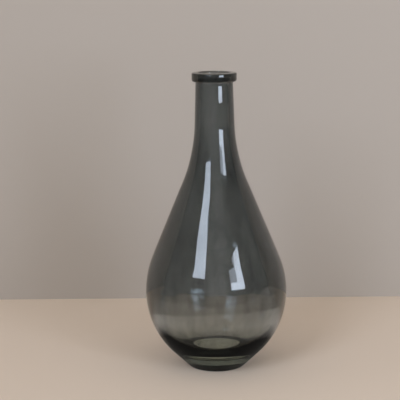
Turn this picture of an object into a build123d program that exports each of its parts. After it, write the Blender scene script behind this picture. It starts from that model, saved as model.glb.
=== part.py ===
from build123d import *
from math import cos, radians, sin, tan
import os

# A free-standing bottle vase of smoke-grey glass. Its axis is Z and it stands on Z = 0. Sizes are in
# millimetres and angles in degrees. Outlines are drawn as radius and height, then turned about the axis.

# Glass
wall = 3.0                     # thickness of the blown wall

# Neck and mouth
mouth_radius = 15.7            # straight bore inside the collar
mouth_round = 0.8              # softened inner edge of the mouth
neck_length = 40.8             # straight leaning stretch below the collar
neck_angle = 1.7               # lean of the neck from upright, narrower at the top
shoulder_radius = 169.0        # hollow curve between neck and cone

# Bulb
cone_angle = 22.7              # lean of the cone from upright
upper_belly_radius = 97.5      # round between cone and widest point
belly_radius = 71.8            # at the widest point
belly_height = 77.5            # height of the widest point
flank_angle = 44.3             # rise of the straight flank above the ground
base_radius = 28.9             # where the line of the flank meets the ground

# Floor inside the bulb
floor_height = 20.0
floor_radius = 25.0            # flat part of the floor

# Base pad
pad_rim = 4.0                  # how far the pad's seam with the bulb lies above the floor
heel_round = 1.2               # softened edge between flank and resting ring
rest_width = 1.6               # width of the flat ring that the vase stands on
kick_depth = 1.0               # dish inside that ring, with its rim rounded by the same amount

# Lip collar
collar_height = 9.0
collar_width = 3.8             # how far the collar stands out from the neck
collar_lower_round = 2.2
collar_upper_round = 1.4

# How far a cutting shape passes the face that it opens
overrun = 5.0


def on_circle(centre, radius, angle):
    return (centre[0] + radius * cos(radians(angle)), centre[1] + radius * sin(radians(angle)))


def turned(*edges):
    return revolve(Plane.XZ * make_face(edges), axis=Axis.Z)


# The lower round is upright at the widest point and runs straight on into the flank
flank_sin = sin(radians(flank_angle))
flank_cos = cos(radians(flank_angle))
lower_belly_radius = (belly_height * flank_cos - (belly_radius - base_radius) * flank_sin) / (1 - flank_sin)
lower_belly_centre = (belly_radius - lower_belly_radius, belly_height)

# The cone leaves the upper round and runs up to the shoulder, whose radius the neck sets
neck_radius = mouth_radius + wall / cos(radians(neck_angle))
neck_foot_radius = neck_radius + neck_length * sin(radians(neck_angle))
upper_belly_centre = (belly_radius - upper_belly_radius, belly_height)
cone_foot = on_circle(upper_belly_centre, upper_belly_radius, cone_angle)
shoulder_axis = neck_foot_radius + shoulder_radius * cos(radians(neck_angle))
cone_drop = cone_foot[0] - (shoulder_axis - shoulder_radius * cos(radians(cone_angle)))
cone_head_height = cone_foot[1] + cone_drop / tan(radians(cone_angle))
shoulder_centre = (shoulder_axis, cone_head_height + shoulder_radius * sin(radians(cone_angle)))

# Heights along the neck
neck_foot_height = shoulder_centre[1] - shoulder_radius * sin(radians(neck_angle))
collar_bottom = neck_foot_height + neck_length * cos(radians(neck_angle))
vase_height = collar_bottom + collar_height


def side_edges(inset, top):
    """The side from the widest point up to a top height, moved towards the axis by an inset."""
    hollow = shoulder_radius + inset
    cone_low = on_circle(upper_belly_centre, upper_belly_radius - inset, cone_angle)
    cone_high = on_circle(shoulder_centre, hollow, 180 + cone_angle)
    neck_low = on_circle(shoulder_centre, hollow, 180 + neck_angle)
    neck_high = (neck_radius - inset / cos(radians(neck_angle)), collar_bottom)
    return [
        CenterArc(upper_belly_centre, upper_belly_radius - inset, 0, cone_angle),
        Line(cone_low, cone_high),
        CenterArc(shoulder_centre, hollow, 180 + cone_angle, neck_angle - cone_angle),
        Line(neck_low, neck_high),
        Line(neck_high, (neck_high[0], top)),
    ]


def outer_form():
    """The whole outside below the rim, solid to the axis, with a dish inside its resting ring."""
    heel_centre = (base_radius - heel_round * tan(radians(flank_angle / 2)), heel_round)
    flank_low = on_circle(heel_centre, heel_round, flank_angle - 90)
    flank_high = on_circle(lower_belly_centre, lower_belly_radius, flank_angle - 90)
    kick_radius = heel_centre[0] - rest_width
    kick_flat = kick_radius - kick_depth
    return turned(
        Line((0, vase_height), (0, kick_depth)),
        Line((0, kick_depth), (kick_flat, kick_depth)),
        CenterArc((kick_flat, 0), kick_depth, 90, -90),
        Line((kick_radius, 0), (heel_centre[0], 0)),
        CenterArc(heel_centre, heel_round, -90, flank_angle),
        Line(flank_low, flank_high),
        CenterArc(lower_belly_centre, lower_belly_radius, flank_angle - 90, 90 - flank_angle),
        *side_edges(0, vase_height),
        Line((neck_radius, vase_height), (0, vase_height)),
    )


def cavity():
    """The hollow inside: a flat floor, an oval bowl up to the widest point, the side and the mouth."""
    above = vase_height + overrun
    lip_low = vase_height - mouth_round
    lip_radius = mouth_radius + mouth_round
    bowl_width = belly_radius - wall - floor_radius
    bowl_rise = belly_height - floor_height
    return turned(
        Line((0, above), (0, floor_height)),
        Line((0, floor_height), (floor_radius, floor_height)),
        EllipticalCenterArc((floor_radius, belly_height), bowl_width, bowl_rise, -90, arc_size=90),
        *side_edges(wall, lip_low),
        CenterArc((lip_radius, lip_low), mouth_round, 180, -90),
        Line((lip_radius, vase_height), (lip_radius, above)),
        Line((lip_radius, above), (0, above)),
    )


def lip_collar():
    """The ring of glass laid round the top of the neck."""
    collar_radius = neck_radius + collar_width
    lower_centre = (collar_radius - collar_lower_round, collar_bottom + collar_lower_round)
    upper_centre = (collar_radius - collar_upper_round, vase_height - collar_upper_round)
    return turned(
        Line((neck_radius, vase_height), (neck_radius, collar_bottom)),
        Line((neck_radius, collar_bottom), (lower_centre[0], collar_bottom)),
        CenterArc(lower_centre, collar_lower_round, -90, 90),
        Line((collar_radius, lower_centre[1]), (collar_radius, upper_centre[1])),
        CenterArc(upper_centre, collar_upper_round, 0, 90),
        Line((upper_centre[0], vase_height), (neck_radius, vase_height)),
    )


# The glass is parted by two level seams: around the floor, and where the hollow of the shoulder begins
glass = outer_form() - cavity()
pad_seam = Plane.XY.offset(floor_height + pad_rim)
neck_seam = Plane.XY.offset(cone_head_height)
blown_wall = split(glass, pad_seam, keep=Keep.TOP)

nodes = {
    "base_pad": split(glass, pad_seam, keep=Keep.BOTTOM),
    "bulb": split(blown_wall, neck_seam, keep=Keep.BOTTOM),
    "neck": split(blown_wall, neck_seam, keep=Keep.TOP),
    "lip_collar": lip_collar(),
}

os.makedirs("parts", exist_ok=True)
for node, solid in nodes.items():
    export_step(solid, f"parts/{node}.step")
    print(node, solid.volume)
print("vase height", vase_height, "collar bottom", collar_bottom, "neck radius", neck_radius)
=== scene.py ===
from math import ceil, cos, dist, hypot, pi, radians, sin, tan

import bpy
from mathutils import Matrix, Vector


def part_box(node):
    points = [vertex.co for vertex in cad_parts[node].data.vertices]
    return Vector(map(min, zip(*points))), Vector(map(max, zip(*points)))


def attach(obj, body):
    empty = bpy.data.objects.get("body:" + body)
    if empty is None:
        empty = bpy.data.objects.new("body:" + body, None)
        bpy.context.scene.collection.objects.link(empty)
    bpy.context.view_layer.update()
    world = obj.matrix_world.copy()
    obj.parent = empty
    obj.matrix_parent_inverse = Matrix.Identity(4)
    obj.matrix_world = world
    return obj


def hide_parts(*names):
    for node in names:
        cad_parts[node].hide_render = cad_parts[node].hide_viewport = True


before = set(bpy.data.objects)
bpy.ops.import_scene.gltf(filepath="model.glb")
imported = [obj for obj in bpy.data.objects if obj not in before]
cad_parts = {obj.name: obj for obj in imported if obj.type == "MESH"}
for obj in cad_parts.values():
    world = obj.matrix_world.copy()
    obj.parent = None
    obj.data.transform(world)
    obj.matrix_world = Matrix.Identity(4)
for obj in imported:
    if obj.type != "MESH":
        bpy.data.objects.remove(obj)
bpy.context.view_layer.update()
print("frame loaded:", ", ".join(sorted(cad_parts)))

# Lengths are in metres and angles in degrees. The vase is drawn as radius and height, then spun about Z.

vaseShape = {
    "wall": 0.0030,
    "mouthRadius": 0.0157,
    "mouthRound": 0.0008,
    "neckLength": 0.0408,
    "neckAngle": 1.7,           # lean from upright
    "shoulderRadius": 0.169,
    "coneAngle": 22.7,          # lean from upright
    "upperBellyRadius": 0.0975,
    "bellyHeight": 0.0775,
    "flankAngle": 44.3,         # rise above the ground
    "baseRadius": 0.0289,
    "floorHeight": 0.0200,
    "floorRadius": 0.0250,
    "heelRound": 0.0012,
    "restWidth": 0.0016,
    "kickDepth": 0.0010,
    "collarLowerRound": 0.0022,
    "collarUpperRound": 0.0014,
    "collarFillet": 0.0008,     # soft corner where the collar leaves the neck
    "step": 0.0025,             # length of a facet along the outline
    "fewestSteps": 4,           # facets of the smallest rounds
    "bowlShare": 0.77,          # length of the bowl's oval as a share of its width plus its rise
    "segments": 256,
    "weld": 1e-6,               # points nearer than this become one
    "crispAngle": 35,           # sharper corners are not smoothed
}

pen = {"at": (0, 0)}


def onCircle(centre, radius, angle):
    return (centre[0] + radius * cos(radians(angle)), centre[1] + radius * sin(radians(angle)))


def penDown(name, radius, height):
    bpy.ops.object.select_all(action="DESELECT")
    bpy.ops.mesh.primitive_plane_add(size=vaseShape["step"], location=(0, 0, 0))
    piece = bpy.context.object
    piece.name = name
    piece.data.name = name
    bpy.ops.object.mode_set(mode="EDIT")
    bpy.ops.mesh.select_mode(type="VERT")
    bpy.ops.mesh.select_all(action="SELECT")
    bpy.ops.mesh.merge(type="CENTER")          # one point left, which draws the outline
    bpy.ops.transform.translate(value=(radius, 0, height))
    pen["at"] = (radius, height)
    return piece


def penLine(radius, height):
    start = pen["at"]
    steps = max(1, ceil(dist(start, (radius, height)) / vaseShape["step"]))
    move = ((radius - start[0]) / steps, 0, (height - start[1]) / steps)
    for _ in range(steps):
        bpy.ops.mesh.extrude_vertices_move(TRANSFORM_OT_translate={"value": move})
    pen["at"] = (radius, height)


def penArc(centre, sweep):
    turn = radians(sweep)
    length = dist(pen["at"], centre) * abs(turn)
    steps = max(vaseShape["fewestSteps"], ceil(length / vaseShape["step"]))
    bpy.ops.mesh.spin(steps=steps, angle=turn, center=(centre[0], 0, centre[1]), axis=(0, 1, 0))
    across, along = pen["at"][0] - centre[0], pen["at"][1] - centre[1]
    pen["at"] = (
        centre[0] + across * cos(turn) - along * sin(turn),
        centre[1] + across * sin(turn) + along * cos(turn),
    )


def spinOutline():
    bpy.ops.mesh.select_all(action="SELECT")
    bpy.ops.mesh.spin(steps=vaseShape["segments"], angle=2 * pi, center=(0, 0, 0), axis=(0, 0, 1))
    bpy.ops.mesh.select_all(action="SELECT")
    bpy.ops.mesh.remove_doubles(threshold=vaseShape["weld"])
    bpy.ops.mesh.normals_make_consistent(inside=False)
    bpy.ops.object.mode_set(mode="OBJECT")
    bpy.ops.object.shade_smooth_by_angle(angle=radians(vaseShape["crispAngle"]))


def makeVaseGlass():
    s = vaseShape
    collarLow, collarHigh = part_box("lip_collar")
    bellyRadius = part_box("bulb")[1].x
    wall, flank, cone, lean = s["wall"], s["flankAngle"], s["coneAngle"], s["neckAngle"]

    # centres of the rounds, so that each runs straight on into the next stretch
    flankSin, flankCos = sin(radians(flank)), cos(radians(flank))
    reach = s["bellyHeight"] * flankCos - (bellyRadius - s["baseRadius"]) * flankSin
    lowerBellyRadius = reach / (1 - flankSin)
    lowerBelly = (bellyRadius - lowerBellyRadius, s["bellyHeight"])
    upperBelly = (bellyRadius - s["upperBellyRadius"], s["bellyHeight"])
    neckRadius = s["mouthRadius"] + wall / cos(radians(lean))
    neckFoot = (
        neckRadius + s["neckLength"] * sin(radians(lean)),
        collarLow.z - s["neckLength"] * cos(radians(lean)),
    )
    shoulder = (
        neckFoot[0] + s["shoulderRadius"] * cos(radians(lean)),
        neckFoot[1] + s["shoulderRadius"] * sin(radians(lean)),
    )
    heel = (s["baseRadius"] - s["heelRound"] * tan(radians(flank / 2)), s["heelRound"])
    kickRadius = heel[0] - s["restWidth"]
    kickFlat = kickRadius - s["kickDepth"]

    # underside and outside, from the axis up
    vase = penDown("vaseGlass", 0, s["kickDepth"])
    penLine(kickFlat, s["kickDepth"])
    penArc((kickFlat, 0), -90)
    penLine(heel[0], 0)
    penArc(heel, flank)
    penLine(*onCircle(lowerBelly, lowerBellyRadius, flank - 90))
    penArc(lowerBelly, 90 - flank)
    penArc(upperBelly, cone)
    penLine(*onCircle(shoulder, s["shoulderRadius"], 180 + cone))
    penArc(shoulder, lean - cone)
    penLine(neckRadius, collarLow.z - s["collarFillet"])

    # collar and mouth
    penArc((neckRadius + s["collarFillet"], collarLow.z - s["collarFillet"]), -90)
    penLine(collarHigh.x - s["collarLowerRound"], collarLow.z)
    penArc((collarHigh.x - s["collarLowerRound"], collarLow.z + s["collarLowerRound"]), 90)
    penLine(collarHigh.x, collarHigh.z - s["collarUpperRound"])
    penArc((collarHigh.x - s["collarUpperRound"], collarHigh.z - s["collarUpperRound"]), 90)
    penLine(s["mouthRadius"] + s["mouthRound"], collarHigh.z)
    penArc((s["mouthRadius"] + s["mouthRound"], collarHigh.z - s["mouthRound"]), 90)

    # inside, from the mouth down to the floor
    penLine(s["mouthRadius"], collarLow.z)
    penLine(*onCircle(shoulder, s["shoulderRadius"] + wall, 180 + lean))
    penArc(shoulder, cone - lean)
    penLine(*onCircle(upperBelly, s["upperBellyRadius"] - wall, cone))
    penArc(upperBelly, -cone)
    bowlWidth = bellyRadius - wall - s["floorRadius"]
    bowlRise = s["bellyHeight"] - s["floorHeight"]
    bowlSteps = ceil((bowlWidth + bowlRise) * s["bowlShare"] / s["step"])
    for i in range(1, bowlSteps + 1):
        turn = pi / 2 * i / bowlSteps
        penLine(s["floorRadius"] + bowlWidth * cos(turn), s["bellyHeight"] - bowlRise * sin(turn))
    penLine(0, s["floorHeight"])
    spinOutline()
    print("vase glass spun:", len(vase.data.polygons), "faces")
    return vase


def smoothShare(value, low, high):
    share = min(1, max(0, (value - low) / (high - low)))
    return share * share * (3 - 2 * share)


ripple = {
    "depth": 0.0004,                # blown glass is never quite even
    "wavelength": 0.036,
    "fineness": 1,
    "from": 0.028,                  # heights between which it sets in, above the even base
    "to": 0.060,
}


def rippleWall(vase):
    evenness = vase.vertex_groups.new(name="blownWall")
    for point in vase.data.vertices:
        evenness.add([point.index], smoothShare(point.co.z, ripple["from"], ripple["to"]), "REPLACE")
    waves = bpy.data.textures.new("blownRipple", "CLOUDS")
    waves.noise_scale = ripple["wavelength"]
    waves.noise_depth = ripple["fineness"]
    uneven = vase.modifiers.new("ripple", "DISPLACE")
    uneven.texture = waves
    uneven.texture_coords = "LOCAL"
    uneven.strength = ripple["depth"]
    uneven.vertex_group = "blownWall"
    bpy.ops.object.modifier_apply(modifier="ripple")
    print("wall rippled")


smokeTint = {
    "upper": (0.415, 0.445, 0.455),     # light left after one straight pass through the tinted outside
    "lower": (0.60, 0.61, 0.60),
    "fadeFrom": 0.025,                  # heights between which the tint thins out downwards
    "fadeTo": 0.080,
    "rest": (0.30, 0.30, 0.28),         # resting ring and heel, tinted darker as painted shade where the base meets the floor
    "restHeight": 0.0006,
    "shoulderHeight": 0.205,            # a little more tint stayed around this height
    "shoulderReach": 0.055,
    "shoulderShare": 0.10,
    "collarSide": (0.36, 0.38, 0.38),
    "collarEdgeShade": (0.09, 0.10, 0.10),   # lower edge of the collar, tinted darker as painted shade where it meets the neck
    "edgeFrom": 0.002,                  # heights above that edge between which its tint fades
    "edgeTo": 0.005,
    "facingUp": 0.3,                    # the collar's top is tinted where its normal rises more than this
    "slack": 0.00001,                   # a face this far above the dish still counts as the dish
    "turnedBack": 0.92,                 # loss of light that the outside throws back into the glass
    "streakDepth": 0.24,                # tint differs by this share from streak to streak
    "streakScale": (70, 70, 8),
    "streakDetail": 4,
    "streakNoise": (0.3, 0.7),          # noise at the densest and the lightest streak
    "depthColour": (0.25, 0.47, 0.17),
    "depthDensity": 6.0,
    "bending": 1.5,                     # refractive index
}


def between(low, high, share):
    return [a + (b - a) * share for a, b in zip(low, high)]


def tintAt(height, collarBottom):
    t = smokeTint
    # painted shade on the resting ring and heel
    if height < t["restHeight"]:
        passed = t["rest"]
    elif height > collarBottom:
        # the collar's lower edge gets painted shade, fading upwards
        share = smoothShare(height, collarBottom + t["edgeFrom"], collarBottom + t["edgeTo"])
        passed = between(t["collarEdgeShade"], t["collarSide"], share)
    else:
        shoulder = 1 - smoothShare(abs(height - t["shoulderHeight"]), 0, t["shoulderReach"])
        thinned = 1 - t["shoulderShare"] * shoulder
        share = smoothShare(height, t["fadeFrom"], t["fadeTo"])
        passed = [c * thinned for c in between(t["lower"], t["upper"], share)]
    return [c * c for c in passed] + [1]      # a glass colour tints by its square root


def paintTint(vase):
    bare = (1, 1, 1, 0)                       # alpha tells tinted faces from bare ones
    bpy.ops.geometry.color_attribute_add(name="tint", domain="CORNER", data_type="FLOAT_COLOR", color=bare)
    paint = vase.data.color_attributes["tint"].data
    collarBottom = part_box("lip_collar")[0].z
    kickTop = vaseShape["kickDepth"] + smokeTint["slack"]
    kickEdge = vaseShape["baseRadius"] - vaseShape["restWidth"] - vaseShape["heelRound"] / 2
    tints = [tintAt(point.co.z, collarBottom) for point in vase.data.vertices]
    for face in vase.data.polygons:
        middle, facing = face.center, face.normal
        inKick = middle.z < kickTop and hypot(middle.x, middle.y) < kickEdge
        outward = facing.x * middle.x + facing.y * middle.y > 0
        onCollar = middle.z > collarBottom and facing.z > smokeTint["facingUp"]
        onRest = middle.z < smokeTint["restHeight"]
        if (outward or onCollar or onRest) and not inKick:
            for corner, point in zip(face.loop_indices, face.vertices):
                paint[corner].color = tints[point]
    print("tint painted")


# helpers for materials and the world: a value is either another node's output or a fixed one
def feed(tree, socket, value):
    if isinstance(value, bpy.types.NodeSocket):
        tree.links.new(value, socket)
    else:
        socket.default_value = value


def addNode(tree, kind, **values):
    node = tree.nodes.new("ShaderNode" + kind)
    for name, value in values.items():
        feed(tree, node.inputs[name], value)
    return node


def maths(tree, operation, *values):
    step = addNode(tree, "Math")
    step.operation = operation
    for socket, value in zip(step.inputs, values):
        feed(tree, socket, value)
    return step.outputs[0]


def measure(tree, operation, *vectors):
    step = addNode(tree, "VectorMath")
    step.operation = operation
    for socket, vector in zip(step.inputs, vectors):
        feed(tree, socket, vector)
    return step.outputs["Value"]


def mapRange(tree, value, start, end, curve="LINEAR"):
    ranged = addNode(tree, "MapRange", Value=value)
    ranged.interpolation_type = curve
    for name, number in zip(("From Min", "From Max", "To Min", "To Max"), (*start, *end)):
        ranged.inputs[name].default_value = number
    return ranged.outputs["Result"]


def mixColours(tree, share, first, second):
    mix = addNode(tree, "Mix")
    mix.data_type = "RGBA"
    feed(tree, mix.inputs["Factor"], share)
    feed(tree, mix.inputs["A"], first)
    feed(tree, mix.inputs["B"], second)
    return mix.outputs["Result"]


def mixShaders(tree, share, first, second):
    mix = addNode(tree, "MixShader", Fac=share)
    feed(tree, mix.inputs[1], first.outputs[0])
    feed(tree, mix.inputs[2], second.outputs[0])
    return mix


def newMaterial(name):
    material = bpy.data.materials.new(name)
    material.use_nodes = True
    return material


def showShader(tree, shader):
    feed(tree, tree.nodes["Material Output"].inputs["Surface"], shader.outputs[0])


def makeSmokeGlass():
    t = smokeTint
    glass = newMaterial("smokeGlass")
    tree = glass.node_tree
    surface = tree.nodes["Principled BSDF"]
    surface.inputs["Transmission Weight"].default_value = 1
    surface.inputs["Roughness"].default_value = 0
    surface.inputs["IOR"].default_value = t["bending"]
    tint = addNode(tree, "Attribute")
    tint.attribute_name = "tint"

    # upright streaks, as the molten glass was drawn out
    place = addNode(tree, "TexCoord").outputs["Object"]
    drawn = addNode(tree, "Mapping", Vector=place, Scale=t["streakScale"]).outputs["Vector"]
    streaks = addNode(tree, "TexNoise", Vector=drawn, Scale=1, Detail=t["streakDetail"]).outputs["Fac"]
    streaked = addNode(tree, "VectorMath")
    streaked.operation = "SCALE"
    feed(tree, streaked.inputs[0], tint.outputs["Color"])
    change = mapRange(tree, streaks, t["streakNoise"], (1 - t["streakDepth"], 1 + t["streakDepth"]))
    feed(tree, streaked.inputs["Scale"], change)

    # a slanting ray has a longer way through the tint, and one from outside is bent first
    inside = addNode(tree, "NewGeometry").outputs["Backfacing"]
    straight = maths(tree, "SUBTRACT", 1, addNode(tree, "LayerWeight").outputs["Facing"])
    aside = maths(tree, "SUBTRACT", 1, maths(tree, "MULTIPLY", straight, straight))
    outer = maths(tree, "DIVIDE", aside, t["bending"] ** 2)
    bent = maths(tree, "MAXIMUM", maths(tree, "MULTIPLY", aside, inside), outer)
    way = maths(tree, "INVERSE_SQRT", maths(tree, "SUBTRACT", 1, bent))
    passed = addNode(tree, "Gamma", Color=streaked.outputs["Vector"], Gamma=way)
    feed(tree, surface.inputs["Base Color"], passed.outputs["Color"])

    # light that the tinted outside throws back into the glass has crossed the tint twice
    mirror = addNode(tree, "Fresnel", IOR=t["bending"]).outputs["Fac"]
    thrownBack = maths(tree, "MULTIPLY", mirror, maths(tree, "MULTIPLY", inside, tint.outputs["Alpha"]))
    lost = maths(tree, "MULTIPLY", thrownBack, t["turnedBack"])
    black = addNode(tree, "BsdfRefraction", Color=(0, 0, 0, 1))
    showShader(tree, mixShaders(tree, lost, surface, black))

    depth = addNode(tree, "VolumeAbsorption", Color=(*t["depthColour"], 1), Density=t["depthDensity"])
    feed(tree, tree.nodes["Material Output"].inputs["Volume"], depth.outputs["Volume"])
    print("smoke glass mixed")
    return glass


vase = makeVaseGlass()
rippleWall(vase)
paintTint(vase)
vase.data.materials.append(makeSmokeGlass())
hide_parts("base_pad", "bulb", "neck", "lip_collar")
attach(vase, "root")

stage = {
    "floorColour": (0.74, 0.61, 0.49),
    "wallColour": (0.417, 0.367, 0.318),
    "roughness": 0.7,
    "specular": 0.2,
    "wallPlace": 0.244,
    "size": 8.0,
}

# painted reflection: a glow on the floor that only mirrored rays see, with painted shade under the vase's
# belly, then a painted pool of light, then an even paleness, and dark past an edge on the left and one in
# front
paintedFloorReflection = {
    "poolCentre": (0.020, -0.025, 0),
    "rings": ((0.2015, 1.5), (0.2035, 0.75)),   # radius and brightness
    "shadeCentre": (-0.005, 0.005, 0),
    "shade": (0.085, 0.135),        # painted shade: dark up to the first radius, clear from the second
    "shadeLeft": 0.06,              # brightness that is left in the dark
    "reach": 0.5,
    "tint": (1.0, 0.93, 0.85),
    "leftEdge": -0.39,
    "frontEdge": -0.385,
    "beyond": (0.15, 0.15, 0.15),
    "front": (0.10, 0.00),          # mirrored so only in front: fades in between these Y places
}

# painted light: a glow on the floor, seen only through the glass, in place of the light that the glass
# gathers under the dish and around the base
paintedGatheredLight = {
    "rings": ((0.0262, 0.23), (0.0268, 0.0), (0.033, 0.0), (0.038, 0.19), (0.090, 0.12), (0.160, 0.0)),
    "reach": 0.2,
    "tint": (1.0, 0.91, 0.71),
}

# painted shade: the floor is painted dark in the gap between floor and heel, also seen only through the
# glass
paintedHeelShade = {
    "rings": ((0.0262, 0.0), (0.0268, 1.0), (0.031, 1.0), (0.034, 0.0)),
    "reach": 0.2,
    "tint": (1, 1, 1),
}


def plainMaterial(name, colour):
    paint = newMaterial(name)
    surface = paint.node_tree.nodes["Principled BSDF"]
    surface.inputs["Base Color"].default_value = (*colour, 1)
    surface.inputs["Roughness"].default_value = stage["roughness"]
    surface.inputs["Specular IOR Level"].default_value = stage["specular"]
    return paint


def mirroredRay(tree):
    path = addNode(tree, "LightPath")         # a ray bent by the glass counts as glossy too
    return maths(tree, "MULTIPLY", path.outputs["Is Glossy Ray"], path.outputs["Is Reflection Ray"])


def ringColour(tree, distance, settings):
    rings = addNode(tree, "ValToRGB", Fac=maths(tree, "DIVIDE", distance, settings["reach"]))
    stops = rings.color_ramp.elements
    for i, (radius, bright) in enumerate(settings["rings"]):
        stop = stops[i] if i < 2 else stops.new(1)      # a ramp comes with two stops
        stop.position = radius / settings["reach"]
        stop.color = [bright * c for c in settings["tint"]] + [1]
    return rings.outputs["Color"]


# painted reflection on the floor, for mirrored rays only: painted shade under the belly and a painted pool
# of light
def paintFloorReflection(tree, place, plain):
    m = paintedFloorReflection
    apart = addNode(tree, "SeparateXYZ", Vector=place)
    pastLeft = maths(tree, "LESS_THAN", apart.outputs["X"], m["leftEdge"])
    pastFront = maths(tree, "LESS_THAN", apart.outputs["Y"], m["frontEdge"])
    past = maths(tree, "MAXIMUM", pastLeft, pastFront)
    pool = ringColour(tree, measure(tree, "DISTANCE", place, m["poolCentre"]), m)
    seen = mixColours(tree, past, pool, (*m["beyond"], 1))
    fromShade = measure(tree, "DISTANCE", place, m["shadeCentre"])
    shade = mapRange(tree, fromShade, m["shade"], (m["shadeLeft"], 1))
    # the glow of the painted reflection, dimmed by the painted shade
    glow = addNode(tree, "Emission", Color=seen, Strength=shade)
    front = mapRange(tree, apart.outputs["Y"], m["front"], (0, 1))
    return mixShaders(tree, maths(tree, "MULTIPLY", mirroredRay(tree), front), plain, glow)


def paintFloor(paint):
    tree = paint.node_tree
    place = addNode(tree, "TexCoord").outputs["Object"]
    mirrored = paintFloorReflection(tree, place, tree.nodes["Principled BSDF"])
    fromAxis = measure(tree, "LENGTH", place)
    through = addNode(tree, "LightPath").outputs["Is Transmission Ray"]
    # painted shade in the heel gap, for rays through the glass only
    gap = maths(tree, "MULTIPLY", ringColour(tree, fromAxis, paintedHeelShade), through)
    dark = addNode(tree, "Emission", Color=(0, 0, 0, 1))
    gapped = mixShaders(tree, gap, mirrored, dark)
    # painted light that the glass would gather on the floor, for rays through the glass only
    pale = addNode(tree, "Emission", Color=ringColour(tree, fromAxis, paintedGatheredLight), Strength=through)
    both = addNode(tree, "AddShader")
    feed(tree, both.inputs[0], gapped.outputs[0])
    feed(tree, both.inputs[1], pale.outputs[0])
    showShader(tree, both)


def openFromBehind(paint):
    tree = paint.node_tree
    behind = addNode(tree, "NewGeometry").outputs["Backfacing"]
    clear = addNode(tree, "BsdfTransparent")
    showShader(tree, mixShaders(tree, behind, tree.nodes["Principled BSDF"], clear))


def addPlane(name, paint, size, place):
    bpy.ops.mesh.primitive_plane_add(size=size, location=place)
    plane = bpy.context.object
    plane.name = name
    plane.data.materials.append(paint)
    return plane


def makeStage():
    floorPaint = plainMaterial("paleFloor", stage["floorColour"])
    paintFloor(floorPaint)
    floor = addPlane("floor", floorPaint, stage["size"], (0, 0, 0))
    wallPaint = plainMaterial("paleWall", stage["wallColour"])
    openFromBehind(wallPaint)
    wall = addPlane("backdrop", wallPaint, stage["size"], (0, stage["wallPlace"], 0))
    wall.rotation_euler = (pi / 2, 0, 0)
    print("floor and backdrop laid")


makeStage()

# a panel shines fully within the first angle of its beam from straight ahead, and not past the second
panels = {
    "leftPanel": {
        "azimuth": -30.5, "away": 2.4, "width": 0.92, "low": 0.956, "high": 2.3,
        "glow": 10.0, "beam": (60, 80),
    },
    "rightPanelLow": {
        "azimuth": 36.0, "away": 1.358, "width": 0.53, "low": 0.214, "high": 0.44,
        "glow": 13.0, "beam": (26, 42),
    },
    "rightPanelHigh": {
        "azimuth": 41.5, "away": 1.358, "width": 0.264, "low": 0.44, "high": 0.85,
        "glow": 12.0, "beam": (33, 48),
    },
    "rightPanelDim": {
        "azimuth": 30.5, "away": 1.358, "width": 0.264, "low": 0.44, "high": 0.85,
        "glow": 4.5, "beam": (33, 48),
    },
}
daylight = (0.76, 0.85, 1.0)


def panelMaterial(name, p):
    paint = newMaterial(name)
    tree = paint.node_tree
    slant = addNode(tree, "LayerWeight").outputs["Facing"]
    beam = [1 - cos(radians(angle)) for angle in p["beam"]]
    strength = mapRange(tree, slant, beam, (p["glow"], 0))
    glow = addNode(tree, "Emission", Color=(*daylight, 1), Strength=strength)

    # a panel is not seen from behind, nor straight through the glass
    path = addNode(tree, "LightPath")
    bounces = maths(tree, "ADD", path.outputs["Glossy Depth"], path.outputs["Diffuse Depth"])
    straight = maths(tree, "LESS_THAN", bounces, 0.5)
    through = maths(tree, "MULTIPLY", straight, path.outputs["Is Transmission Ray"])
    unseen = maths(tree, "MAXIMUM", through, addNode(tree, "NewGeometry").outputs["Backfacing"])
    showShader(tree, mixShaders(tree, unseen, glow, addNode(tree, "BsdfTransparent")))
    return paint


def addPanel(name, p):
    turn = radians(p["azimuth"])
    height = p["high"] - p["low"]
    place = Vector((sin(turn) * p["away"], -cos(turn) * p["away"], p["low"] + height / 2))
    panel = addPlane(name, panelMaterial(name, p), 1, place)
    panel.scale = (p["width"], height, 1)
    panel.rotation_mode = "QUATERNION"
    panel.rotation_quaternion = Vector((-place.x, -place.y, 0)).to_track_quat("Z", "Y")
    panel.visible_camera = False


for name, settings in panels.items():
    addPanel(name, settings)
print("panels set up:", len(panels))

# the surroundings light the vase evenly, but it mirrors them dark, with a soft brightness in front
surroundings = {
    "colour": (0.615, 0.583, 0.54),
    "dark": (0.06, 0.06, 0.065),
    "bright": (0.44, 0.46, 0.48),
    "brightWay": (0, -1.0, 0.35),
    "core": 8,                      # angles around that way: fully bright within, dark beyond the spread
    "spread": 40,
}


def makeSurroundings():
    s = surroundings
    world = bpy.data.worlds.new("surroundings")
    world.use_nodes = True
    bpy.context.scene.world = world
    tree = world.node_tree
    way = addNode(tree, "TexCoord").outputs["Generated"]
    towards = measure(tree, "DOT_PRODUCT", way, Vector(s["brightWay"]).normalized())
    edges = [cos(radians(s["spread"])), cos(radians(s["core"]))]
    soft = mapRange(tree, towards, edges, (0, 1), "SMOOTHSTEP")
    mirrored = mixColours(tree, soft, (*s["dark"], 1), (*s["bright"], 1))
    seen = mixColours(tree, mirroredRay(tree), (*s["colour"], 1), mirrored)
    feed(tree, tree.nodes["Background"].inputs["Color"], seen)


cameraPose = {
    "place": (0, -1.13967, 0.39327),
    "pitch": 11.0,                  # looking down
    "yaw": 0.7748,
    "roll": -0.6717,
    "lens": 103.5,                  # in millimetres, as is the sensor
    "sensor": 36,
}


def addCamera():
    bpy.ops.object.camera_add()
    camera = bpy.context.object
    camera.data.sensor_width = cameraPose["sensor"]
    camera.data.lens = cameraPose["lens"]
    camera.matrix_world = (
        Matrix.Translation(cameraPose["place"])
        @ Matrix.Rotation(radians(cameraPose["yaw"]), 4, "Z")
        @ Matrix.Rotation(radians(90 - cameraPose["pitch"]), 4, "X")
        @ Matrix.Rotation(radians(cameraPose["roll"]), 4, "Z")
    )
    bpy.context.scene.camera = camera


makeSurroundings()
addCamera()
bpy.context.scene.view_settings.view_transform = "Standard"
print("surroundings and camera set")
